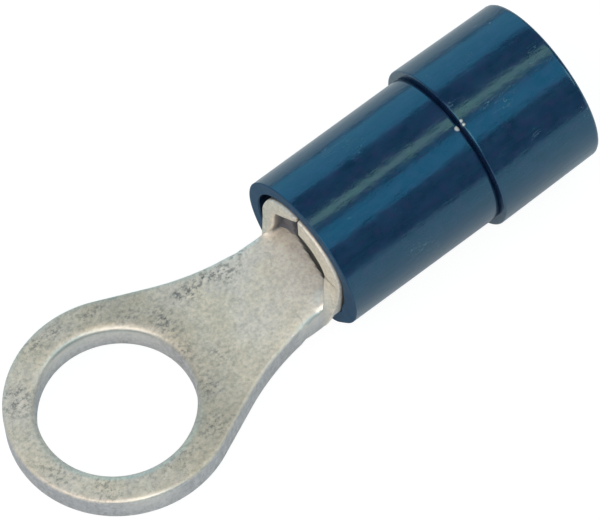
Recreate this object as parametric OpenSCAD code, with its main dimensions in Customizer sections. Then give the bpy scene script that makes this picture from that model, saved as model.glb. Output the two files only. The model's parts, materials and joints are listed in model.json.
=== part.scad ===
// Insulated ring terminal: a ring tongue stamped and rolled from one strip of tinned
// copper, with a stepped plastic sleeve over its barrel.
// Frame: the origin is on the axis of the stud hole, in the plane of the tongue's
// underside. +Z is the way the tongue's top faces. +X runs along the barrel, towards
// the end where the wire goes in.

/* [Ring tongue] */
// Diameter of the stud hole
stud_hole_d = 4.4; // [3.6:0.1:4.6]
// Outer diameter of the ring
ring_d = 6.35; // [6.1:0.05:6.7]
// Distance of the ring's outer circle from the hole's axis, towards the neck
ring_shift = 0.1; // [0:0.05:0.2]
// Thickness of the strip
stock = 0.8; // [0.7:0.05:0.9]
// Width of the neck at its narrowest place
neck_w = 3; // [2.8:0.05:3.2]
// Angle of the flanks, which run tangent from the ring, to the centre line
flank_angle = 25; // [22:1:28]
// Radius that the punch leaves on the top edge of the stud hole
hole_edge_r = 0.15; // [0.05:0.05:0.2]

/* [Barrel] */
// Place of the barrel's mouth along X
mouth_x = 6.45; // [6.3:0.05:6.5]
// Length of the barrel behind its mouth
barrel_length = 5.25; // [4.8:0.05:5.4]
// Outer diameter of the barrel
barrel_od = 3.7; // [3.6:0.05:3.7]
// Height of the barrel's axis over the tongue's underside
barrel_rise = 1.4; // [1.35:0.05:1.45]
// Width of the butt seam along the top of the barrel
seam_gap = 0.08; // [0.05:0.01:0.12]
// Width of the notch between the corners of the two wings, at the mouth
notch_w = 0.6; // [0.4:0.1:0.8]

/* [Sleeve] */
// Outer diameter of the front part of the sleeve
sleeve_od = 4.64; // [4.6:0.02:4.8]
// Bore of the front part, round the barrel
sleeve_bore = 3.82; // [3.8:0.02:3.9]
// Place of the sleeve's front face along X
sleeve_x = 6.52; // [6.45:0.01:6.6]
// Outer diameter of the collar behind its shoulder
collar_od = 5.1; // [5:0.02:5.3]
// Outer diameter of the collar at the wire entry
entry_od = 5; // [4.9:0.02:5.1]
// Bore of the collar, round the insulation of the wire
entry_bore = 4.2; // [4:0.05:4.3]
// Place of the collar's front shoulder along X
collar_x = 11.45; // [11.3:0.05:11.6]
// Place of the end face of the wire entry along X
sleeve_end_x = 14.95; // [14.6:0.05:15.2]

/* [Hidden] */
$fn = 96;
cut = 1;                     // how far a cutting shape runs past what it cuts

// Ring and neck. The flank ends in a concave arc that is level with the centre line at
// neck_x, where the neck is narrowest, and the wing turns outwards from there.
ring_r = ring_d / 2;
hole_r = stud_hole_d / 2;
half_neck = neck_w / 2;
wing_corner_r = 0.35;
neck_x = mouth_x - wing_corner_r;
flank_start = [ring_shift + ring_r * sin(flank_angle), ring_r * cos(flank_angle)];
flank_slope = tan(flank_angle);
neck_r = (flank_start[1] - half_neck - flank_slope * (neck_x - flank_start[0]))
    / (1 - cos(flank_angle) - sin(flank_angle) * flank_slope);

// Barrel
barrel_r = barrel_od / 2;
bore_r = barrel_r - stock;
barrel_end_x = mouth_x + barrel_length;
barrel_bottom = barrel_rise - barrel_r;
barrel_top = barrel_rise + barrel_r;

// Behind the mouth the strip steps down, from the tongue's level to the barrel's bottom.
joggle_length = 0.95;
joggle_overrun = 1.08;       // runs the step past the barrel's wall, so that they cross

// At the mouth the strip curls up: the flat runs out to the wings, over a tight bend
// with a radius of bend_r inside, and its outer edges come in to the barrel's radius
// over curl_length. The wings' walls are thinner here: the mouth opens as a taper that
// meets the bore at taper_end_x.
bend_r = 0.25;
mouth_r = 1.3;
bend_y = mouth_r - bend_r;
bend_end_x = mouth_x + 0.45;
taper_end_x = mouth_x + 0.65;
wing_rise = 0.4;             // height of the wings' sloping front edges
curl_length = 1.3;
curl_depth = 0.5;
notch_length = 0.5;

// Sleeve
lip_x = barrel_end_x + 0.35; // the barrel's end stands against this lip
lip_r = bore_r + 0.25;       // clear of the barrel's bore
funnel_length = 0.9;
shoulder_r = 0.22;
end_edge_r = 0.12;
face_edge_r = 0.05;

// Points of an arc round c, from angle a0 to a1, in n steps
function arc(c, r, a0, a1, n) =
    [for (i = [0:n]) let (a = a0 + (a1 - a0) * i / n) c + r * [cos(a), sin(a)]];

// One side of the strip's outline in plan, from the ring's tip to the barrel's end
function strip_side() = concat(
    arc([ring_shift, 0], ring_r, 180, 90 - flank_angle, 36),
    arc([neck_x, half_neck + neck_r], neck_r, 270 - flank_angle, 270, 10),
    arc([neck_x, half_neck + wing_corner_r], wing_corner_r, 285, 360, 5),
    [[mouth_x, 2 * barrel_r], [barrel_end_x + cut, 2 * barrel_r]]);

// The points of the other side, back to the tip
function other_side(points) =
    [for (i = [len(points) - 1:-1:1]) [points[i][0], -points[i][1]]];

// The strip's underside through the joggle, in side view: half a cosine wave
function joggle() = [for (i = [0:12]) let (u = i / 12)
    [mouth_x + joggle_length * u, joggle_overrun * barrel_bottom * (1 - cos(180 * u)) / 2]];

function raised(points, h) = [for (p = points) p + [0, h]];
function reversed(points) = [for (i = [len(points) - 1:-1:0]) points[i]];

// Puts a shape that is drawn round the Z axis on the barrel's axis
module on_barrel_axis(x = 0) {
    translate([x, 0, barrel_rise]) rotate([0, 90, 0]) children();
}

// Extrudes a side view, drawn in X and Z, to both sides
module across(half_w) {
    translate([0, half_w, 0]) rotate([90, 0, 0]) linear_extrude(2 * half_w) children();
}

// Strip in plan
module strip_plan() {
    side = strip_side();
    translate([0, 0, barrel_bottom - cut])
        linear_extrude(barrel_top - barrel_bottom + 2 * cut)
            polygon(concat(side, other_side(side)));
}

// Strip in side view: the flat tongue, the wings' sloping edges, then the barrel
module strip_side_view() {
    tip_x = -ring_r - cut;
    under = barrel_bottom - cut;
    over = barrel_top + cut;
    across(ring_r + cut) polygon(concat(
        [[tip_x, 0], [tip_x, stock]],
        arc([mouth_x - wing_rise, stock + wing_rise], wing_rise, 275, 355, 8),
        [[mouth_x, stock + wing_rise], [mouth_x, over], [barrel_end_x, over], [barrel_end_x, under],
         [mouth_x + joggle_length, under]],
        reversed(joggle())));
}

// Strip as seen along the barrel: the barrel's outside, with a flare towards the neck,
// where the edges of the flat strip start to curl up
module curl_envelope() {
    flare_x = mouth_x - 0.1;
    outer = 3 * ring_r;
    front = flare_x - curl_length - outer;
    flare = [for (i = [0:8]) let (u = i / 8) [barrel_r + curl_depth * u * u, flare_x - curl_length * u]];
    on_barrel_axis() rotate_extrude() polygon(concat(
        [[0, barrel_end_x + cut], [barrel_r, barrel_end_x + cut]], flare, [[outer, front], [0, front]]));
}

// Room inside the barrel: its bore and the taper at its mouth, above the strip where
// that steps down, and the inside of the bends
module barrel_room() {
    above = raised(joggle(), stock);
    front = neck_x - cut;
    back = barrel_end_x + cut;
    intersection() {
        on_barrel_axis() rotate_extrude() polygon([[0, front], [mouth_r, front], [mouth_r, neck_x],
            [bore_r, taper_end_x], [bore_r, back], [0, back]]);
        across(barrel_r) polygon(concat([[front, barrel_top], [front, stock]], above,
            [[mouth_x + joggle_length, barrel_bottom], [back, barrel_bottom], [back, barrel_top]]));
    }
    for (side = [-1, 1]) translate([0, side * bend_y, stock + bend_r]) {
        translate([front, 0, 0]) rotate([0, 90, 0]) cylinder(r = bend_r, h = bend_end_x - front);
        translate([bend_end_x, 0, 0]) sphere(bend_r);
    }
    translate([front, -bend_y, stock]) cube([mouth_x - front, 2 * bend_y, barrel_rise - stock]);
    translate([front, -mouth_r, stock + bend_r])
        cube([mouth_x - front, 2 * mouth_r, barrel_rise - stock - bend_r]);
}

// Butt seam along the top, and the notch where it opens at the mouth
module seam() {
    translate([neck_x, -seam_gap / 2, barrel_rise]) cube([barrel_length + 2 * cut, seam_gap, barrel_r + cut]);
    translate([0, 0, barrel_rise]) linear_extrude(barrel_r + cut)
        polygon([[mouth_x - notch_length, notch_w], [mouth_x - notch_length, -notch_w], [mouth_x + notch_length, 0]]);
}

// Rounding that the punch leaves on the top edge of the stud hole
module punched_edge() {
    translate([0, 0, stock - hole_edge_r]) rotate_extrude() difference() {
        translate([hole_r - hole_edge_r, 0]) square(2 * hole_edge_r);
        translate([hole_r + hole_edge_r, 0]) circle(hole_edge_r);
    }
}

module terminal() {
    color([0.76, 0.75, 0.70]) difference() {
        intersection() {
            strip_plan();
            strip_side_view();
            curl_envelope();
        }
        translate([0, 0, -cut]) cylinder(r = hole_r, h = stock + 2 * cut);
        punched_edge();
        barrel_room();
        seam();
    }
}

// Half section of the sleeve: radius, then place along the barrel
function sleeve_section() = let (
    front_r = sleeve_od / 2, seat_r = sleeve_bore / 2, collar_r = collar_od / 2,
    end_r = entry_od / 2, entry_r = entry_bore / 2) concat(
    [[seat_r, sleeve_x]],
    arc([front_r - face_edge_r, sleeve_x + face_edge_r], face_edge_r, -90, 0, 2),
    [[front_r, collar_x]],
    arc([collar_r - shoulder_r, collar_x + shoulder_r], shoulder_r, -90, 0, 6),
    arc([end_r - end_edge_r, sleeve_end_x - end_edge_r], end_edge_r, 0, 90, 4),
    arc([entry_r + end_edge_r, sleeve_end_x - end_edge_r], end_edge_r, 90, 180, 4),
    [[entry_r, lip_x + funnel_length], [lip_r, lip_x], [lip_r, barrel_end_x], [seat_r, barrel_end_x]]);

module insulating_sleeve() {
    color([0.13, 0.30, 0.42]) on_barrel_axis() rotate_extrude() polygon(sleeve_section());
}

terminal();
insulating_sleeve();
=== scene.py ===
# %% [markdown]
# An insulated ring terminal, built up in the order in which the real one is made.
#
# The real thing is two pieces. One strip of copper is stamped, rolled and tinned: its
# flat end is a ring for a stud, and its other end is curled into a barrel for the wire.
# A stepped plastic sleeve is pushed over the barrel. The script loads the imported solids
# as a fixed frame, models a finer mesh over each of them, gives both a finish made of
# nodes, and lights them.

# %% Load the frame
import json, math
import bpy, bmesh
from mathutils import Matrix, Quaternion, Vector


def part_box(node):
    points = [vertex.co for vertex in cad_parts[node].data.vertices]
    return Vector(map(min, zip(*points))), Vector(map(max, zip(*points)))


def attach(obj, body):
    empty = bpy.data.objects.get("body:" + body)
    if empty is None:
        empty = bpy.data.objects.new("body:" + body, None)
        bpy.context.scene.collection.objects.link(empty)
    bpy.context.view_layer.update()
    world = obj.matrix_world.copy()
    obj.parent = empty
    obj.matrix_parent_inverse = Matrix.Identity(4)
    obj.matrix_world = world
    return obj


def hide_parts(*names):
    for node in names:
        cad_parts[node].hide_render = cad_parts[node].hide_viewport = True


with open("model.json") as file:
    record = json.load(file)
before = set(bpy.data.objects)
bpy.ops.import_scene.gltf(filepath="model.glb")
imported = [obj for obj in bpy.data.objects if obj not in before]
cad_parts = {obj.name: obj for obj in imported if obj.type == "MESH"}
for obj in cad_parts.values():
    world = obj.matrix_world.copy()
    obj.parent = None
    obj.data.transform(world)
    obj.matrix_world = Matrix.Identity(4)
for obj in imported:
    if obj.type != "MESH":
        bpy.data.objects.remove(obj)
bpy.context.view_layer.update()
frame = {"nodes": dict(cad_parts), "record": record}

mm = 0.001

# %% [markdown]
# The sizes come from the frame: the mounts give the hole, the two bores and the stock's
# thickness, and the boxes of the two solids give the ends. What no mount states, such as
# the width of the neck, is named here once. The x axis runs along the barrel, from the
# stud hole to the wire's end, and z points the way the tongue's top faces. All sizes
# are in millimetres until a point is placed.

# %% Sizes of the strip and the sleeve
mounts = {m["name"]: m for m in frame["record"]["mounts"]}
hole_r = mounts["stud_hole"]["dims"]["r_mm"]
bore_r = mounts["wire_barrel"]["dims"]["r_mm"]
entry_r = mounts["insulation_entry"]["dims"]["r_mm"]
axis_z = mounts["wire_barrel"]["pos_m"][2] / mm
stock = mounts["tongue_top"]["pos_m"][2] / mm
strip_low, strip_high = [[v / mm for v in corner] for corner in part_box("terminal")]
sleeve_low, sleeve_high = [[v / mm for v in corner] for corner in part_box("insulating_sleeve")]
ring_r = -strip_low[1]
ring_shift = strip_low[0] + ring_r     # the ring's outer circle stands a little off the hole
barrel_r = strip_high[2] - axis_z
barrel_end = strip_high[0]
neck_half = 1.5                        # half the width of the neck
mouth_x = 6.45                         # where the barrel's mouth opens
corner_r = 0.35                        # fillet between the neck and the left wing
neck_x = mouth_x - corner_r            # where the neck is narrowest
print("hole", hole_r, "ring", round(ring_r, 3), "stock", stock, "barrel", round(barrel_r, 3),
      "bore", bore_r, "axis at", axis_z, "ends", round(barrel_end, 2), round(sleeve_high[0], 2))

# %% [markdown]
# The strip starts as the flat blank that the press cuts. It could be drawn as a filled
# outline, but a fill gives long thin triangles that can't be rolled. So it is grown from
# the stud hole: a circle is extruded ring by ring until it reaches the outline, which
# leaves even four-sided faces that follow both edges.
#
# The outline is half a circle, a straight flank at 25 degrees that runs tangent from it,
# and a hollow arc that ends level with the centre line where the neck is narrowest.

# %% Outline of the ring and the neck
def arc_points(centre, radius, start, end, count):
    angles = [math.radians(start + (end - start) * i / count) for i in range(count + 1)]
    return [(centre[0] + radius * math.cos(a), centre[1] + radius * math.sin(a)) for a in angles]

flank = math.radians(25)
flank_start = (ring_shift + ring_r * math.sin(flank), ring_r * math.cos(flank))
neck_arc_r = ((flank_start[1] - neck_half - math.tan(flank) * (neck_x - flank_start[0]))
              / (1 - math.cos(flank) - math.sin(flank) * math.tan(flank)))
outline = (arc_points((ring_shift, 0), ring_r, 180, 65, 160)
           + arc_points((neck_x, neck_half + neck_arc_r), neck_arc_r, 245, 270, 80))
outline_polar = [(math.degrees(math.atan2(y, x)), math.hypot(x, y)) for x, y in outline]
print("the hollow arc of the neck has a radius of", round(neck_arc_r, 2))

# %% How far the outline is from the stud hole's centre
def outline_reach(angle):
    """Distance from the hole's centre to the outline, at an angle in degrees."""
    angle = abs(angle)
    for (a1, r1), (a2, r2) in zip(outline_polar, outline_polar[1:]):
        if a2 <= angle <= a1:
            p1, p2 = [Vector((r * math.cos(math.radians(a)), r * math.sin(math.radians(a))))
                      for a, r in ((a1, r1), (a2, r2))]
            ray = Vector((math.cos(math.radians(angle)), math.sin(math.radians(angle))))
            side = p2 - p1
            return (p1.x * side.y - p1.y * side.x) / (ray.x * side.y - ray.y * side.x)

around = 384                           # faces round the stud hole
neck_steps = 17                        # half of the faces across the neck
corner_angle = neck_steps * 360 / around
corner_reach = outline_reach(corner_angle)
cross_x = corner_reach * math.cos(math.radians(corner_angle))
cross_half = corner_reach * math.sin(math.radians(corner_angle))

def reach(angle):
    """How far the ring grows: to a straight line across the neck, or to the outline."""
    if abs(angle) <= corner_angle:
        return cross_x / math.cos(math.radians(angle))
    return outline_reach(angle)

print("neck cross line at x", round(cross_x, 3), "half width", round(cross_half, 3))

# %% Helpers for work in edit mode
def put(vertex, x, y, z=0.0):
    vertex.co = (x * mm, y * mm, z * mm)

def place(x, y, z=0.0):
    return Vector((x, y, z)) * mm

def edit_verts():
    """The open mesh and its selected vertices, which are lost if the mesh isn't kept."""
    mesh = bmesh.from_edit_mesh(bpy.context.object.data)
    return mesh, [v for v in mesh.verts if v.select]

def show_edit():
    bmesh.update_edit_mesh(bpy.context.object.data)

def choose_edges(test):
    """Selects the edges for which test(edge) is true, and nothing else."""
    bpy.ops.mesh.select_mode(type="EDGE")
    bpy.ops.mesh.select_all(action="DESELECT")
    mesh = bmesh.from_edit_mesh(bpy.context.object.data)
    chosen = [e for e in mesh.edges if test(e)]
    for e in chosen:
        e.select = True
    mesh.select_flush(True)
    show_edit()
    return len(chosen)

# %% Grow the ring and the neck from the stud hole
edge_band = 0.14                       # width of the first and the last row of faces
rows = 10

bpy.ops.object.select_all(action="DESELECT")
bpy.ops.mesh.primitive_circle_add(vertices=around, radius=hole_r * mm, fill_type="NOTHING")
strip = bpy.context.object
strip.name = "strip"
bpy.ops.object.mode_set(mode="EDIT")
bpy.ops.mesh.select_mode(type="EDGE")
bpy.ops.mesh.select_all(action="SELECT")
for row in range(rows):
    bpy.ops.mesh.extrude_edges_move()
    mesh, chosen = edit_verts()
    for v in chosen:
        angle = math.degrees(math.atan2(v.co.y, v.co.x))
        far = reach(angle)
        last = edge_band if abs(angle) > corner_angle + 3 else (far - hole_r) / rows
        inner, outer = hole_r + edge_band, far - last
        r = far if row == rows - 1 else inner + (outer - inner) * row / (rows - 2)
        put(v, r * math.cos(math.radians(angle)), r * math.sin(math.radians(angle)))
    show_edit()
print("ring:", rows, "rows of", around, "faces")

# %% [markdown]
# From the cross line the blank runs on as rows of faces: to the mouth, then through the
# barrel. Each side of the barrel is then extruded outwards to make the two wings that
# the press rolls up. The front edge of a wing meets the neck in a small fillet.

# %% Extend the blank to the barrel's end
def neck_half_at(x):
    if x >= neck_x:
        return neck_half
    return neck_half + neck_arc_r - math.sqrt(neck_arc_r ** 2 - (neck_x - x) ** 2)

row_xs = [cross_x + (neck_x - cross_x) * i / 9 for i in range(1, 10)]
row_xs += [neck_x + 0.055 * i for i in range(1, 23)]           # fine rows for the tight bends
fine_end = row_xs[-1]
row_xs += [fine_end + (barrel_end - 0.15 - fine_end) * i / 14 for i in range(1, 15)] + [barrel_end]
near = 1e-3 * mm
choose_edges(lambda e: all(abs(v.co.x - cross_x * mm) < near and abs(v.co.y) < cross_half * mm + near
                           for v in e.verts))
for x in row_xs:
    bpy.ops.mesh.extrude_edges_move()
    mesh, chosen = edit_verts()
    grow = neck_half_at(x) / max(abs(v.co.y) for v in chosen) * mm
    for v in chosen:
        put(v, x, v.co.y / mm * grow)
    show_edit()
print("rows of faces along the neck and the barrel:", len(row_xs))

# %% Extrude the two wings sideways
wing_width = 4.5                       # half of the blank's width, rolled into half a turn
fillet_r = {-1: 0.7, 1: corner_r}      # the right wing, at -y, leaves the neck in a wider sweep

def wing_front(s, side):
    """Where the front edge of a wing lies, s from the blank's centre line."""
    r = fillet_r[side]
    if s >= neck_half + r:
        return mouth_x
    return mouth_x - r + math.sqrt(max(0.0, r ** 2 - (neck_half + r - s) ** 2))

widths = [neck_half + d for d in (0.05, 0.11, 0.17, 0.24, 0.31, 0.38, 0.46)]
widths += [widths[-1] + (wing_width - 0.12 - widths[-1]) * i / 24 for i in range(1, 25)] + [wing_width]
for side in (-1, 1):
    start_x = mouth_x - fillet_r[side]
    choose_edges(lambda e: e.is_boundary and all(v.co.x > (start_x - 0.04) * mm
                 and abs(v.co.y * side - neck_half * mm) < 0.003 * mm for v in e.verts))
    for s in widths:
        bpy.ops.mesh.extrude_edges_move()
        mesh, chosen = edit_verts()
        front_now = min(v.co.x for v in chosen) / mm
        front = wing_front(s, side)
        for v in chosen:
            u = (v.co.x / mm - front_now) / (barrel_end - front_now)
            put(v, front + u * (barrel_end - front), side * s)
        show_edit()
bpy.ops.object.mode_set(mode="OBJECT")
print("blank:", len(strip.data.polygons), "faces")

# %% [markdown]
# The blank gets its thickness with Solidify. Then its sharp edges are bevelled: a wide
# rounding along the top, which wears first, and a small one along the underside. One
# bevel goes no wider than the narrowest face it meets allows, all along its edges. So
# the stud hole, the ring and the wings are bevelled one after another.

# %% Give the blank its thickness
def apply_modifier(piece, kind, **settings):
    bpy.context.view_layer.objects.active = piece
    modifier = piece.modifiers.new(kind.lower(), kind)
    for key, value in settings.items():
        setattr(modifier, key, value)
    bpy.ops.object.modifier_apply(modifier=modifier.name)

bpy.ops.object.mode_set(mode="EDIT")
bpy.ops.mesh.select_all(action="SELECT")
bpy.ops.mesh.remove_doubles(threshold=1e-4 * mm)
bpy.ops.mesh.normals_make_consistent(inside=False)
mesh = bmesh.from_edit_mesh(strip.data)
if sum(f.normal.z for f in mesh.faces) < 0:
    bpy.ops.mesh.flip_normals()
bpy.ops.object.mode_set(mode="OBJECT")
apply_modifier(strip, "SOLIDIFY", thickness=stock * mm, offset=1.0)
print("thick blank:", len(strip.data.polygons), "faces")

# %% Bevel its edges
def is_rim(edge, level):
    """A sharp edge of the blank at a height of level."""
    return (all(abs(v.co.z - level * mm) < near for v in edge.verts)
            and any(abs(f.normal.z) < 0.5 for f in edge.link_faces))

def part_of_rim(edge):
    """0 for the stud hole, 1 for the ring and the neck, 2 for the wings."""
    middle = (edge.verts[0].co + edge.verts[1].co) / 2 / mm
    if math.hypot(middle.x, middle.y) < hole_r + 0.02:
        return 0
    return 1 if middle.x < 5.3 else 2

bpy.ops.object.mode_set(mode="EDIT")
for level, width, segments in ((stock, 0.10, 4), (0, 0.06, 2)):
    for part in (0, 1, 2):
        count = choose_edges(lambda e: is_rim(e, level) and part_of_rim(e) == part)
        bpy.ops.mesh.bevel(offset=width * mm, segments=segments, affect="EDGES", clamp_overlap=True)
        print(count, "edges rounded at z", level)
bpy.ops.object.mode_set(mode="OBJECT")

# %% [markdown]
# Tumbling and handling soften a stamped edge more than a bevel does, and not evenly:
# the lip of the stud hole is the roundest, and stretches of the rim are rubbed bright.
# A wider bevel would need wider faces. So the points near an edge of the top are
# lowered instead, each by its distance from that edge, and how bright they are rubbed
# is kept for the finish.

# %% Distance from the outline
def from_edge(x, s, side):
    """Distance from a point of the blank to the outline, s from the centre line."""
    r = fillet_r[side]
    if x >= mouth_x - r:
        if s > neck_half + r:
            return x - mouth_x
        return math.hypot(x - mouth_x + r, s - neck_half - r) - r
    if x > neck_x - neck_arc_r * math.sin(flank):
        return math.hypot(x - neck_x, s - neck_half - neck_arc_r) - neck_arc_r
    if math.atan2(s, x - ring_shift) < math.pi / 2 - flank:
        return ring_r - (x - ring_shift) * math.sin(flank) - s * math.cos(flank)
    return ring_r - math.hypot(x - ring_shift, s)

def smooth(value, low, high):
    """0 up to low, 1 from high on, and an even rise between them."""
    u = min(1.0, max(0.0, (value - low) / (high - low)))
    return u * u * (3 - 2 * u)

print("the middle of the neck is", round(from_edge(neck_x, 0, 1), 2), "from the edge")

# %% Round over the edges that wear has dulled most
def dulled(x, y):
    """Distance to the nearest edge, the radius it is rounded to, and how bright it is rubbed."""
    angle, from_hole = math.degrees(math.atan2(y, x)), math.hypot(x, y) - hole_r
    if from_hole < 0.3:
        return from_hole, 0.24, 0.9 * smooth(angle, -10, 40) * (1 - smooth(angle, 95, 140))
    distance = from_edge(x, abs(y), math.copysign(1, y))
    ridge = 0.0                        # the corner where the right wing starts to rise
    if y < 0:
        ridge = smooth(x, 4.9, 5.4) * (1 - smooth(x, 6.15, 6.45)) * (1 - smooth(abs(y), 1.7, 2.1))
    worn = smooth(angle, -135, -115) * (1 - smooth(angle, -108, -88))
    return distance, 0.1 + 0.1 * ridge + 0.05 * worn, max(ridge, 0.7 * worn)

rubs = []
for v in strip.data.vertices:
    x, y, z = v.co / mm
    distance, radius, rub = dulled(x, y)
    distance = max(0.0, distance)
    on_top = z > 0.6 * stock
    if on_top and distance < radius:
        z = min(z, stock - radius + math.sqrt(radius ** 2 - (radius - distance) ** 2))
        v.co.z = z * mm
    rubs.append(rub * max(0.0, 1 - abs(distance - 0.06) / 0.13) if on_top else 0.0)
print("rubbed bright:", sum(1 for r in rubs if r > 0.1), "points")

# %% [markdown]
# The finish has to know where the metal is rubbed, sheared or stained, and where shade is to be painted: on
# the inside that the roll covers, and along one crease. These places are marked now, while the strip is flat
# and easy to measure.
# A painted picture could hold them, but it would need the strip unwrapped. A value on
# each point needs nothing of that, and rides along when the strip is rolled.

# %% Where the stains are, and where shade is painted under the roll and along a crease
# Each stain: centre x, y, half lengths along x and y, strength.
stains = [(4.6, 1.38, 0.4, 0.25, 1.0), (4.85, 1.05, 0.25, 0.2, 0.9), (4.1, 1.45, 0.3, 0.2, 0.9),
          (5.45, 1.45, 0.14, 0.12, 1.0), (3.6, 1.35, 0.25, 0.3, 0.8), (3.3, 1.5, 0.2, 0.2, 0.8),
          (2.5, 1.0, 0.28, 0.6, 0.9), (2.4, -0.1, 0.2, 0.5, 0.7), (3.0, -0.7, 0.3, 0.3, 0.6),
          (-2.0, 1.8, 0.45, 0.5, 0.8), (-0.3, 2.85, 0.7, 0.2, 0.8), (1.2, 2.6, 0.4, 0.2, 0.6),
          (-2.6, -0.6, 0.3, 0.5, 0.6), (1.6, -2.3, 0.45, 0.3, 0.6), (0.2, -2.5, 0.6, 0.25, 0.5),
          (-1.9, -1.9, 0.3, 0.4, 0.5), (2.2, -1.3, 0.3, 0.4, 0.7), (1.9, 1.9, 0.4, 0.3, 0.5)]

def stained(x, y):
    return min(1.0, sum(w * math.exp(-((x - sx) / lx) ** 2 - ((y - sy) / ly) ** 2)
                        for sx, sy, lx, ly, w in stains))

def painted_shade_weight(x, s, side):
    """How much shade is painted: 1 where the roll covers the inner face, a faint dark line along the left
    crease, 0 on the rest of the open tongue.
    """
    start = 6.8 + 0.17 * side * s - 0.4 * max(0.0, side * s - 0.85)
    if s > 1.4:
        start = mouth_x + 0.05
    deep = smooth(x, start, start + 0.05)
    # Painted shade: a faint dark line along the fold at the foot of the left wing.
    crease = 0.35 * math.exp(-((s - 1.44) / 0.05) ** 2) * smooth(x, 6.0, 6.15) if side > 0 else 0.0
    return max(deep, crease)

print(len(stains), "stains")

# %% Mark the points
mark_names = ("rubbed", "sheared", "stained", "painted_shade")
strip.data.update()
for name in mark_names:
    strip.data.attributes.new(name, "FLOAT", "POINT")
marks = {name: strip.data.attributes[name] for name in mark_names}
for v, rub in zip(strip.data.vertices, rubs):
    x, y, z = v.co / mm
    slope = v.normal.z
    is_edge = z > 0.5 * stock and 0.15 < slope < 0.93
    values = (max(rub, 0.25 if is_edge and x < 6.5 else 0.0),
              float(abs(slope) < 0.6),
              stained(x, y),
              painted_shade_weight(x, abs(y), math.copysign(1, y)) if slope > 0.6 else 0.0)
    for name, value in zip(mark_names, values):
        marks[name].data[v.index].value = value
print({name: round(sum(d.value for d in mark.data)) for name, mark in marks.items()})

# %% [markdown]
# Now the press closes. Rolling could be done with the Simple Deform modifier, but the
# mouth isn't a plain bend: its floor stays flat while its sides already stand up. So
# each cross-section is drawn as two profiles, one for the inner face of the strip and
# one for the outer face, and every vertex is carried to its place between them. There
# are three kinds of section: flat in the tongue, a box with a round lid at the mouth,
# and a true circle in the barrel.

# %% Profiles of the rolled strip
# Each line is: width along the blank from its centre line, then y and z of the section.
# The press leaves the two wings unlike each other, so each side has its own pair.
right_inner = [(0, 0, 0.8), (0.55, 0.55, 0.8), (0.8, 0.79, 0.8), (0.98, 0.94, 0.85), (1.15, 1.03, 0.98),
               (1.4, 1.06, 1.22), (1.9, 1.05, 1.6), (2.5, 0.95, 2.0), (3.2, 0.7, 2.42), (3.9, 0.38, 2.68),
               (4.5, 0.03, 2.85)]
right_outer = [(0, 0, 0), (0.6, 0.63, 0), (1.0, 1.08, 0), (1.2, 1.33, 0.02), (1.35, 1.47, 0.12),
               (1.5, 1.54, 0.38), (1.7, 1.61, 0.8), (2.1, 1.69, 1.45), (2.6, 1.68, 2.0), (3.2, 1.4, 2.6),
               (3.9, 0.78, 3.08), (4.5, 0.04, 3.25)]
left_inner = [(0, 0, 0.8), (0.6, 0.6, 0.8), (1.0, 1.0, 0.8), (1.3, 1.28, 0.8), (1.48, 1.38, 0.87),
              (1.65, 1.32, 1.05), (1.95, 1.22, 1.4), (2.5, 1.16, 1.88), (3.0, 1.04, 2.2), (3.4, 0.82, 2.4),
              (3.8, 0.58, 2.6), (4.15, 0.34, 2.83), (4.35, 0.17, 2.98), (4.5, 0.03, 3.12)]
left_outer = [(0, 0, 0), (0.6, 0.62, 0), (0.95, 1.03, 0.05), (1.15, 1.31, 0.22), (1.3, 1.48, 0.45),
              (1.5, 1.63, 0.88), (1.9, 1.66, 1.5), (2.5, 1.55, 2.12), (3.2, 1.23, 2.73), (3.9, 0.66, 3.13),
              (4.5, 0.04, 3.25)]

def along(profile, s):
    """A point of a profile, on a smooth curve through its points."""
    i = max(1, min(len(profile) - 1, sum(1 for p in profile[1:-1] if p[0] <= s) + 1))
    p1, p2 = profile[i - 1], profile[i]
    p0 = profile[i - 2] if i > 1 else (-profile[1][0], -profile[1][1], profile[1][2])
    p3 = profile[i + 1] if i + 1 < len(profile) else (2 * p2[0] - p1[0], 2 * p2[1] - p1[1], p2[2])
    u, length = (s - p1[0]) / (p2[0] - p1[0]), p2[0] - p1[0]
    point = []
    for axis in (1, 2):
        slope1 = (p2[axis] - p0[axis]) / (p2[0] - p0[0]) * length
        slope2 = (p3[axis] - p1[axis]) / (p3[0] - p1[0]) * length
        point.append((2 * u ** 3 - 3 * u ** 2 + 1) * p1[axis] + (u ** 3 - 2 * u ** 2 + u) * slope1
                     + (3 * u ** 2 - 2 * u ** 3) * p2[axis] + (u ** 3 - u ** 2) * slope2)
    return point

print("the left wing's inner face ends at y, z:", along(left_inner, wing_width))

# %% Where each point of the blank goes
seam_turn = 0.0276                     # what is left open of half a turn, in radians

def circle_section(radius, s):
    turn = (math.pi - seam_turn) * s / wing_width
    return radius * math.sin(turn), axis_z - radius * math.cos(turn)

def mix(a, b, weight):
    return [p + (q - p) * weight for p, q in zip(a, b)]

def rolled(x, s, height):
    """Where a point of the blank goes: s from the centre line, height above the underside."""
    side, s = math.copysign(1, s), abs(s)
    if side < 0:
        inner_profile, outer_profile = right_inner, right_outer
        inner_rise, outer_rise = smooth(x, 5.5, 6.5) ** 3, smooth(x, 6.05, 6.48)
    else:
        inner_profile, outer_profile = left_inner, left_outer
        inner_rise = outer_rise = smooth(x, 6.05, 6.5)
    # The inner face steps down to the bore along a slanting line.
    step_x = 6.785 + 0.17 * side * s - 0.4 * min(0.5, max(0.0, side * s - 0.85))
    over = max(0.0, s - neck_half)         # what lies beyond the neck's edge already stands up
    inner = mix((s - 1.3 * over, stock + 0.7 * over), along(inner_profile, s), inner_rise)
    outer = mix((s - over, 0.9 * over), along(outer_profile, s), outer_rise)
    inner = mix(inner, circle_section(bore_r, s), smooth(x, step_x, step_x + 0.08))
    outer = mix(outer, circle_section(barrel_r, s), smooth(x, 6.62, 7.1))
    y, z = mix(outer, inner, height / stock)
    return x, side * y, z

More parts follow.
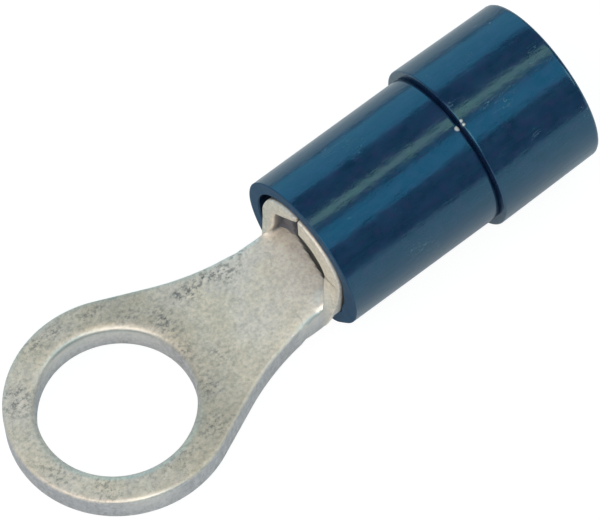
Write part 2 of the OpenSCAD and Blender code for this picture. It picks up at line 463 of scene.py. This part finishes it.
# %% Roll the strip
def move_verts(piece, shape):
    """Carries each vertex of a piece through shape(x, y, z), in millimetres."""
    for v in piece.data.vertices:
        v.co = place(*shape(v.co.x / mm, v.co.y / mm, v.co.z / mm))
    piece.data.update()

move_verts(strip, lambda x, y, z: rolled(x, y, z) if x > 5.2 else (x, y, z))

bpy.ops.object.mode_set(mode="EDIT")
bpy.ops.mesh.select_all(action="SELECT")
bpy.ops.mesh.normals_make_consistent(inside=False)
bpy.ops.object.mode_set(mode="OBJECT")
bpy.ops.object.shade_smooth_by_angle(angle=math.radians(40))
box = [[round(f(v.co[i] for v in strip.data.vertices) / mm, 3) for i in range(3)] for f in (min, max)]
print("strip:", len(strip.data.polygons), "faces, box", box)

# %% [markdown]
# The sleeve is a turned form: the same section all round the barrel's axis. It could be
# a profile spun with the Spin tool, or two cylinders joined by a bridge. Extruding one
# circle loop by loop, each loop at its own place and radius, gives the same form with a
# clean ring of faces at every step, and it closes on itself inside, so the wall is real.
# A fine groove and a rounded shoulder stand where the collar begins.

# %% Section of the sleeve
sleeve_x, sleeve_end = sleeve_low[0], sleeve_high[0]
collar_r = sleeve_high[2] - axis_z
tube_r, seat_r = 2.32, 1.91            # outside and inside of the front part
end_r, lip_r = 2.5, 1.3                # the collar at the wire's end, and the lip behind the barrel
shoulder_x = 11.56
lip_x = barrel_end + 0.35
end_round = 0.12

def straight(x1, r1, x2, r2, count):
    return [(x1 + (x2 - x1) * i / count, r1 + (r2 - r1) * i / count) for i in range(1, count + 1)]

quarter = [math.radians(d) for d in (0, 22, 45, 67, 90)]
front_edge = [(sleeve_x + 0.04, seat_r), (sleeve_x, seat_r + 0.03), (sleeve_x, 2.0), (sleeve_x, 2.2),
              (sleeve_x, tube_r - 0.03), (sleeve_x, tube_r - 0.012), (sleeve_x + 0.012, tube_r),
              (sleeve_x + 0.03, tube_r)]
groove = [(shoulder_x - back, tube_r - depth) for back, depth in
          ((0.08, 0.0), (0.07, 0.008), (0.055, 0.03), (0.025, 0.075), (0.003, 0.09))]
shoulder = [(shoulder_x, tube_r)] + [(shoulder_x + on, collar_r - under) for on, under in
                                     ((0.0, 0.05), (0.005, 0.025), (0.02, 0.006), (0.04, 0.0), (0.08, 0.0))]
end_edge = [(sleeve_end - end_round + end_round * math.sin(a), end_r - end_round + end_round * math.cos(a))
            for a in quarter]
entry_edge = [(sleeve_end - end_round + end_round * math.cos(a), entry_r + end_round - end_round * math.sin(a))
              for a in quarter]
inside = ([(lip_x + 0.9, entry_r)] + straight(lip_x + 0.9, entry_r, lip_x, lip_r, 8)
          + [(barrel_end + 0.02, lip_r), (barrel_end + 0.02, 1.6), (barrel_end + 0.02, seat_r)])
section = (front_edge + straight(sleeve_x + 0.04, tube_r, shoulder_x - 0.14, tube_r, 40) + groove + shoulder
           + straight(shoulder_x + 0.08, collar_r, sleeve_end - 0.2, end_r, 28) + end_edge
           + [(sleeve_end, 2.3)] + entry_edge
           + straight(sleeve_end - end_round, entry_r, lip_x + 0.95, entry_r, 12)
           + inside + straight(barrel_end, seat_r, sleeve_x + 0.09, seat_r, 20))
print("sleeve section:", len(section), "loops, collar radius", round(collar_r, 3))

# %% Turn the sleeve, one loop at a time
bpy.ops.object.select_all(action="DESELECT")
bpy.ops.mesh.primitive_circle_add(vertices=256, radius=section[0][1] * mm, fill_type="NOTHING",
                                  location=place(section[0][0], 0, axis_z), rotation=(0, math.pi / 2, 0))
sleeve = bpy.context.object
sleeve.name = "sleeve"
bpy.ops.object.transform_apply(location=True, rotation=True, scale=True)
bpy.ops.object.mode_set(mode="EDIT")
bpy.ops.mesh.select_mode(type="EDGE")
bpy.ops.mesh.select_all(action="SELECT")
for x, r in section[1:] + section[:1]:
    bpy.ops.mesh.extrude_edges_move()
    mesh, chosen = edit_verts()
    for v in chosen:
        turn = math.atan2(v.co.z - axis_z * mm, v.co.y)
        put(v, x, r * math.cos(turn), axis_z + r * math.sin(turn))
    show_edit()
bpy.ops.mesh.select_all(action="SELECT")
bpy.ops.mesh.remove_doubles(threshold=1e-4 * mm)
bpy.ops.mesh.normals_make_consistent(inside=False)
bpy.ops.object.mode_set(mode="OBJECT")
bpy.ops.object.shade_smooth_by_angle(angle=math.radians(50))
print("sleeve:", len(sleeve.data.polygons), "faces")

# %% [markdown]
# The mouth of the barrel isn't round, and the soft sleeve gives way to it. A corner of
# the right wing pushes the sleeve out, and above that corner the lip lies close to the
# flatter flank. Two turned forms can't show this, and a lattice would be coarse for it.
# So the points near the mouth are moved by a smooth bump round the axis.

# %% Let the sleeve follow the mouth
def pressed(x, y, z):
    """Where a point of the sleeve goes. The turn is in degrees, from the top towards -y."""
    r, turn = math.hypot(y, z - axis_z), math.degrees(math.atan2(-y, z - axis_z))
    if x > 8 or turn < 60:
        return x, y, z
    out = 0.11 * math.exp(-((turn - 151) / 11) ** 2) * (1 - smooth(x, sleeve_x, 7.4))
    if r < seat_r + 0.05:
        flat = smooth(turn, 62, 88) * (1 - smooth(turn, 112, 128))
        out -= 0.13 * flat * (1 - smooth(x, sleeve_x, 7.1))
    grow = 1 + out / r
    return x, y * grow, axis_z + (z - axis_z) * grow

move_verts(sleeve, pressed)
furthest = max(math.hypot(v.co.y, v.co.z - axis_z * mm) / mm for v in sleeve.data.vertices if v.co.x < 8 * mm)
print("the front part now reaches", round(furthest, 3), "from the axis")

# %% [markdown]
# Both pieces are rigid and nothing moves, so both ride on the root body.

# %% Say what each piece stands for
for piece, node, slot in ((strip, "terminal", "tinned_copper"), (sleeve, "insulating_sleeve", "blue_plastic")):
    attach(piece, "root")
    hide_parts(node)
    print(piece.name, "stands for", node)

# %% [markdown]
# A finish is a small network of nodes. The helpers below keep the listings short. One
# adds a node and sets its sockets, and one scales the object's own coordinates, so that
# a pattern's size can be given in millimetres. The others wrap the nodes that both
# finishes use most.

# %% Helpers for materials
def new_material(name):
    material = bpy.data.materials.new(name)
    material.use_nodes = True
    return material, material.node_tree, material.node_tree.nodes["Principled BSDF"]

def set_socket(tree, socket, value):
    if isinstance(value, bpy.types.NodeSocket):
        tree.links.new(value, socket)
    else:
        socket.default_value = value

def add(tree, kind, sockets=None, **settings):
    """Adds a node. A socket's value is a number, a colour, or another node's output."""
    node = tree.nodes.new("ShaderNode" + kind)
    for key, value in settings.items():
        setattr(node, key, value)
    for key, value in (sockets or {}).items():
        set_socket(tree, node.inputs[key], value)
    return node

def in_mm(tree, scale=(1, 1, 1)):
    """Object coordinates with one unit to the millimetre, stretched by scale."""
    coordinates = add(tree, "TexCoord")
    return add(tree, "Mapping", {"Vector": coordinates.outputs["Object"],
                                 "Scale": [v / mm for v in scale]}).outputs["Vector"]

def dress(piece, material):
    piece.data.materials.clear()
    piece.data.materials.append(material)

# %% Helpers for patterns, colours and numbers
def noise(tree, where, scale, detail, roughness=0.5, distortion=0.0):
    return add(tree, "TexNoise", {"Vector": where, "Scale": scale, "Detail": detail, "Roughness": roughness,
                                  "Distortion": distortion}).outputs["Fac"]

def ramp(tree, factor, stops):
    """A Color Ramp from position, colour pairs."""
    node = add(tree, "ValToRGB", {"Fac": factor})
    while len(node.color_ramp.elements) < len(stops):
        node.color_ramp.elements.new(0.5)
    for element, (position, colour) in zip(node.color_ramp.elements, stops):
        element.position = position
        element.color = (*colour, 1)
    return node.outputs["Color"]

def blend(tree, factor, a, b, mode="MIX"):
    """A Mix node for colours."""
    node = add(tree, "Mix", data_type="RGBA", blend_type=mode)
    for index, value in ((0, factor), (6, a), (7, b)):
        set_socket(tree, node.inputs[index], (*value, 1) if isinstance(value, tuple) else value)
    return node.outputs[2]

def span(tree, value, low, high, to_low=0.0, to_high=1.0):
    """A Map Range node that clamps."""
    return add(tree, "MapRange", {"Value": value, "From Min": low, "From Max": high, "To Min": to_low,
                                  "To Max": to_high}).outputs["Result"]

def math_node(tree, operation, a, b=0.0, c=0.0):
    return add(tree, "Math", {0: a, 1: b, 2: c}, operation=operation).outputs[0]

def mark(tree, name):
    return add(tree, "Attribute", attribute_name=name).outputs["Fac"]

# %% [markdown]
# Tin plating is soft and dull. Fresh from the bath it is a warm light grey with a sandy
# grain, and handling leaves darker stains, fine dark specks and rubbed, shinier edges.
# The grain could be a picture laid over the part, but noise in the metal's own space has
# no seams and follows the roll. Each scale of unevenness gets its own noise: cloudy
# patches, mottling, grain, specks.

# %% Tinned copper: the colour of the plating, with painted light along its length
tin, tree, shader = new_material("tinned_copper_finish")
where = in_mm(tree)
axes = add(tree, "SeparateXYZ", {"Vector": where}).outputs
clouds = noise(tree, where, 0.9, 3.0, 0.6)
mottle = noise(tree, where, 3.2, 4.0, 0.65)
grain = noise(tree, where, 9.0, 3.0, 0.7)

# The colour changes along x: darker across the ring, lighter towards the mouth. The lighter neck is painted
# light: it makes up for the lamp light that the sleeve keeps off the mouth.
tone_and_painted_light_along_x = span(tree, axes["X"], -3.0, 7.0)          # the ring is handled more than the neck
plating = ramp(tree, tone_and_painted_light_along_x, [(0.1, (0.84, 0.73, 0.64)), (0.5, (0.63, 0.545, 0.46)),
                                  (0.62, (0.79, 0.69, 0.60)), (0.78, (0.95, 0.84, 0.75)),
                                  (0.9, (0.99, 0.90, 0.81)), (1.0, (1.0, 0.93, 0.86))])
warm = blend(tree, span(tree, clouds, 0.4, 0.62), (0.985, 0.99, 1.01), (1.015, 1.0, 0.95))
plating = blend(tree, 1.0, plating, warm, "MULTIPLY")
print("lengthwise colour set on", tin.name)

# %% Tinned copper: sheared sides, mottling and grain
drag = noise(tree, in_mm(tree, (5, 5, 0.6)), 1.6, 3.0, 0.6)    # the punch drags its marks along z
side_colour = blend(tree, drag, (0.45, 0.44, 0.47), (0.66, 0.64, 0.66))
side_colour = blend(tree, span(tree, axes["X"], 5.8, 6.3), side_colour, (0.86, 0.79, 0.69))
plating = blend(tree, mark(tree, "sheared"), plating, side_colour)
patchy = blend(tree, span(tree, mottle, 0.36, 0.64), (0.93, 0.93, 0.93), (1.05, 1.05, 1.05))
plating = blend(tree, 1.0, plating, patchy, "MULTIPLY")
sandy = blend(tree, span(tree, grain, 0.36, 0.64), (0.87, 0.875, 0.87), (1.1, 1.095, 1.09))
plating = blend(tree, 1.0, plating, sandy, "MULTIPLY")
print("grain added,", len(tree.nodes), "nodes so far")

# %% Tinned copper: stains, nicks, specks and rubbed edges
fine = noise(tree, in_mm(tree, (1, 1.3, 1)), 6.5, 5.0, 0.75)
grime = math_node(tree, "MULTIPLY", span(tree, fine, 0.5, 0.62, 0.0, 0.34),
                  span(tree, axes["X"], 1.5, 6.5, 1.0, 0.25))
plating = blend(tree, grime, plating, (0.22, 0.23, 0.20))
# Nicks are short stretches of the thin lines where a slow noise passes its middle value.
lines = noise(tree, in_mm(tree, (1, 0.7, 1)), 0.9, 1.0, distortion=0.8)
places = noise(tree, where, 1.3, 1.0)
nick = math_node(tree, "ABSOLUTE", math_node(tree, "SUBTRACT", lines, 0.5))
nick = math_node(tree, "MULTIPLY", span(tree, nick, 0.006, 0.002), span(tree, places, 0.52, 0.58))
plating = blend(tree, math_node(tree, "MULTIPLY", nick, 0.3), plating, (0.30, 0.29, 0.27))
dirty = math_node(tree, "MULTIPLY", mark(tree, "stained"), span(tree, fine, 0.47, 0.6))
specks = span(tree, fine, 0.64, 0.74, 0.0, 0.5)
dirty = math_node(tree, "MAXIMUM", dirty, specks)
plating = blend(tree, dirty, plating, (0.105, 0.112, 0.125))
rubbed = mark(tree, "rubbed")
plating = blend(tree, math_node(tree, "MULTIPLY", rubbed, 0.85), plating, (0.90, 0.87, 0.79))
print("stains added,", len(tree.nodes), "nodes so far")

# %% Tinned copper: painted shade inside the roll, along the left crease and in the gap under the sleeve
height = math_node(tree, "SUBTRACT", axes["Z"], axis_z)
radius = math_node(tree, "SQRT", math_node(tree, "ADD", math_node(tree, "POWER", axes["Y"], 2.0),
                                           math_node(tree, "POWER", height, 2.0)))
# Painted shade: the wing's outer face in the gap under the sleeve's front edge is coloured near black.
in_gap = math_node(tree, "MULTIPLY", span(tree, axes["X"], 6.5, 6.56), span(tree, radius, 1.5, 1.6))
painted_shade = mark(tree, "painted_shade")
# Painted shade: where the roll covers it, the inner face is coloured dark grey, brownish at the mouth and
# darker deeper in.
shade = blend(tree, span(tree, axes["X"], 6.55, 6.72), (0.36, 0.33, 0.31), (0.12, 0.125, 0.16))
shade = blend(tree, span(tree, axes["Y"], 0.7, 0.9), (0.29, 0.30, 0.29), shade)
plating = blend(tree, math_node(tree, "MULTIPLY", painted_shade, 0.93), plating, shade)
plating = blend(tree, math_node(tree, "MULTIPLY", in_gap, 0.85), plating, (0.05, 0.055, 0.06))
# hidden joins the two painted shades; the metal there is also made duller.
hidden = math_node(tree, "MAXIMUM", painted_shade, in_gap)
tree.links.new(plating, shader.inputs["Base Color"])
print("colour done,", len(tree.nodes), "nodes so far")

# %% Tinned copper: gloss and relief
rough = span(tree, mottle, 0.3, 0.7, 0.46, 0.62)
rough = blend(tree, rubbed, rough, (0.26, 0.26, 0.26))
rough = blend(tree, dirty, rough, (0.75, 0.75, 0.75))
tree.links.new(rough, shader.inputs["Roughness"])
# clean is 0 where dirt lies and where shade is painted.
clean = math_node(tree, "SUBTRACT", 1.0, math_node(tree, "MAXIMUM", dirty, hidden))
metal = math_node(tree, "MAXIMUM", span(tree, clean, 0.0, 1.0, 0.1, 0.5),
                  math_node(tree, "MULTIPLY", rubbed, 0.9))
tree.links.new(metal, shader.inputs["Metallic"])
relief = math_node(tree, "MULTIPLY_ADD", mottle, 0.6, grain)
relief = math_node(tree, "SUBTRACT", relief, math_node(tree, "MULTIPLY", dirty, 0.4))
relief = math_node(tree, "SUBTRACT", relief, math_node(tree, "MULTIPLY", nick, 0.5))
bump = add(tree, "Bump", {"Strength": 0.35, "Distance": 0.012 * mm, "Height": relief})
tree.links.new(bump.outputs["Normal"], shader.inputs["Normal"])
dress(strip, tin)
dress(frame["nodes"]["terminal"], tin)
print("tinned copper:", len(tree.nodes), "nodes")

# %% [markdown]
# The sleeve is a glossy, slightly see-through blue plastic over metal. Nearly all that
# is seen of it is reflection, tinted by the plastic, so its own colour is close to
# black-blue and the reflections carry the teal. Its skin isn't perfect: it has cloudy
# patches, fine lines drawn along the axis, a slight waviness that breaks the edges of
# the reflections, and a few scratches and specks. Three light spots where the collar
# begins are painted highlights. Its cut front face is matt.

# %% Blue plastic
blue, tree, shader = new_material("blue_plastic_finish")
where = in_mm(tree)
axes = add(tree, "SeparateXYZ", {"Vector": where}).outputs
cloudy = noise(tree, in_mm(tree, (0.6, 1, 1)), 2.2, 4.0, 0.6)
tint = noise(tree, in_mm(tree, (0.7, 1, 1)), 5.0, 2.0)
drawn = noise(tree, in_mm(tree, (0.12, 1, 1)), 7.0, 3.0, 0.6)
colour = blend(tree, span(tree, cloudy, 0.32, 0.68), (0.003, 0.015, 0.048), (0.011, 0.029, 0.080))
colour = blend(tree, span(tree, tint, 0.45, 0.75, 0.0, 0.8), colour, (0.022, 0.022, 0.078))
colour = blend(tree, span(tree, drawn, 0.5, 0.75, 0.0, 0.6), colour, (0.008, 0.040, 0.075))
print("blue mixed,", len(tree.nodes), "nodes so far")

# %% Blue plastic: scratches and specks
lines = noise(tree, in_mm(tree, (0.45, 2.4, 2.4)), 2.6, 2.0, distortion=0.6)
thin = math_node(tree, "ABSOLUTE", math_node(tree, "SUBTRACT", lines, 0.5))
patches = noise(tree, where, 0.75, 1.0)
scratched = math_node(tree, "MULTIPLY", span(tree, thin, 0.006, 0.002), span(tree, patches, 0.6, 0.68))
dust = add(tree, "TexVoronoi", {"Vector": where, "Scale": 1.9, "Randomness": 1.0}).outputs["Distance"]
dotted = math_node(tree, "MULTIPLY", span(tree, dust, 0.07, 0.04), span(tree, tint, 0.52, 0.56))
marked = math_node(tree, "MAXIMUM", scratched, math_node(tree, "MULTIPLY", dotted, 0.7))
colour = blend(tree, math_node(tree, "MULTIPLY", marked, 0.6), colour, (0.16, 0.27, 0.30))
print("scratches added,", len(tree.nodes), "nodes so far")

# %% Blue plastic: painted highlights at the shoulder, and the cut front face
# Each painted highlight spot: x, distance from the axis, turn in degrees from the top, radius.
for x, r, turn, size in ((11.46, tube_r, 19.3, 0.085), (11.61, collar_r, 17.6, 0.062),
                         (11.6, collar_r, 20.2, 0.055)):
    highlight_spot = (x, -r * math.sin(math.radians(turn)), axis_z + r * math.cos(math.radians(turn)))
    away = add(tree, "VectorMath", {0: where, 1: highlight_spot}, operation="DISTANCE").outputs["Value"]
    away = math_node(tree, "MULTIPLY_ADD", drawn, 0.12, away)
    colour = blend(tree, span(tree, away, size + 0.06, size + 0.015), colour, (0.72, 0.70, 0.66))
cut_face = span(tree, axes["X"], sleeve_x + 0.03, sleeve_x + 0.01)
colour = blend(tree, cut_face, colour, (0.004, 0.025, 0.09))
tree.links.new(colour, shader.inputs["Base Color"])
print("colour done,", len(tree.nodes), "nodes so far")

# %% Blue plastic: gloss and relief
shader.inputs["IOR"].default_value = 2.0
shader.inputs["Specular Tint"].default_value = (0.3, 0.75, 1.0, 1)
rough = span(tree, cloudy, 0.3, 0.7, 0.15, 0.22)
rough = math_node(tree, "ADD", rough, math_node(tree, "MULTIPLY", marked, 0.3))
rough = math_node(tree, "ADD", rough, math_node(tree, "MULTIPLY", cut_face, 0.45))
tree.links.new(rough, shader.inputs["Roughness"])
relief = math_node(tree, "MULTIPLY_ADD", drawn, 0.5, math_node(tree, "MULTIPLY", tint, 0.5))
relief = math_node(tree, "MULTIPLY_ADD", cloudy, 1.2, relief)
relief = math_node(tree, "SUBTRACT", relief, math_node(tree, "MULTIPLY", marked, 0.5))
bump = add(tree, "Bump", {"Strength": 0.25, "Distance": 0.03 * mm, "Height": relief})
tree.links.new(bump.outputs["Normal"], shader.inputs["Normal"])
dress(sleeve, blue)
dress(frame["nodes"]["insulating_sleeve"], blue)
print("blue plastic:", len(tree.nodes), "nodes")

# %% [markdown]
# The part lies on a plain white floor, on the lower side of its collar. A floor lit only
# by the lamps would come out grey at its far side. So it shows its own white to the
# camera and to mirror-like surfaces, and still takes light and shadow, which keeps a
# soft shadow under the part.

# %% Floor
floor_z = axis_z - collar_r - 0.02
bpy.ops.object.select_all(action="DESELECT")
bpy.ops.mesh.primitive_plane_add(size=2, location=place(0, 0, floor_z))
floor = bpy.context.object
floor.name = "floor"
paper, tree, shader = new_material("white_paper")
shader.inputs["Base Color"].default_value = (0.85, 0.85, 0.85, 1)
shader.inputs["Roughness"].default_value = 0.9
rays = add(tree, "LightPath").outputs
direct = math_node(tree, "MAXIMUM", rays["Is Camera Ray"], rays["Is Transmission Ray"])
seen = math_node(tree, "MAXIMUM", math_node(tree, "MULTIPLY", direct, 0.85),
                 math_node(tree, "MULTIPLY", rays["Is Glossy Ray"], 0.12))
glow = add(tree, "Emission", {"Color": (1, 1, 1, 1), "Strength": 1.1})
mixed = add(tree, "MixShader", {0: seen, 1: shader.outputs[0], 2: glow.outputs[0]})
tree.links.new(mixed.outputs[0], tree.nodes["Material Output"].inputs["Surface"])
dress(floor, paper)
print("floor at z", round(floor_z, 3))

# %% [markdown]
# A round glossy tube shows its lamps as bands along its length, and a flat matt strip
# shows only how bright they are together. So each lamp is a soft panel that stands where
# its band has to lie: a broad warm one in front, cool ones on both sides, a narrow one
# overhead for the bright line, and a small one for the glint low on the tube. The world
# adds a little cool light from everywhere.

# %% World and lamps
world = bpy.data.worlds.new("studio")
bpy.context.scene.world = world
world.use_nodes = True
world.node_tree.nodes["Background"].inputs["Color"].default_value = (0.45, 0.8, 1.0, 1)
world.node_tree.nodes["Background"].inputs["Strength"].default_value = 0.22

def panel(name, azimuth, elevation, width, depth, glow, colour, distance=200):
    """A soft rectangle that faces the part. Its face is as bright as glow: 1 is white paper."""
    light = bpy.data.lights.new(name, "AREA")
    light.shape, light.size, light.size_y = "RECTANGLE", width * mm, depth * mm
    light.energy, light.color = glow * math.pi * width * depth * mm * mm, colour
    item = bpy.data.objects.new(name, light)
    bpy.context.scene.collection.objects.link(item)
    a, e = math.radians(azimuth), math.radians(elevation)
    away = Vector((math.cos(a) * math.cos(e), math.sin(a) * math.cos(e), math.sin(e)))
    item.location = place(6, 0, 1) + away * distance * mm
    item.rotation_mode = "QUATERNION"
    item.rotation_quaternion = (-away).to_track_quat("-Z", "Y")
    print("panel", name, "at", azimuth, elevation, "watts", round(light.energy, 3))

panel("front", -152, 57, 270, 180, 2.05, (1.0, 0.9, 0.82))
panel("side", 73, 24, 220, 150, 0.85, (0.32, 0.8, 1.0))
panel("strip", 0, 75, 34, 240, 1.8, (1.0, 0.78, 0.46))
panel("low", -61.5, 57, 200, 82, 0.85, (0.2, 0.78, 1.0))
panel("spark", -38, 33, 70, 80, 2.2, (1.0, 0.95, 0.88))

# %% [markdown]
# The camera looks down on the part from the ring's side, from far away and through a
# long lens, so that the ring and the collar keep their true proportions. Its place is
# given by two angles and a distance from a point on the part.

# %% Camera
azimuth, height, roll = math.radians(-32.147), math.radians(60.31), math.radians(-7.492)
aim, distance = place(6.561, 0.230, 0.7), 223.44
back = Vector((math.sin(azimuth) * math.cos(height), -math.cos(azimuth) * math.cos(height), math.sin(height)))
lens = bpy.data.cameras.new("camera")
lens.sensor_width, lens.lens, lens.clip_start, lens.clip_end = 36, 492, 0.01, 10
camera = bpy.data.objects.new("camera", lens)
bpy.context.scene.collection.objects.link(camera)
camera.rotation_mode = "QUATERNION"
camera.rotation_quaternion = (-back).to_track_quat("-Z", "Y") @ Quaternion((0, 0, 1), roll)
camera.location = aim + back * distance * mm
bpy.context.scene.camera = camera
bpy.context.scene.view_settings.view_transform = "Standard"
print("camera at, mm:", [round(v / mm, 1) for v in camera.location])
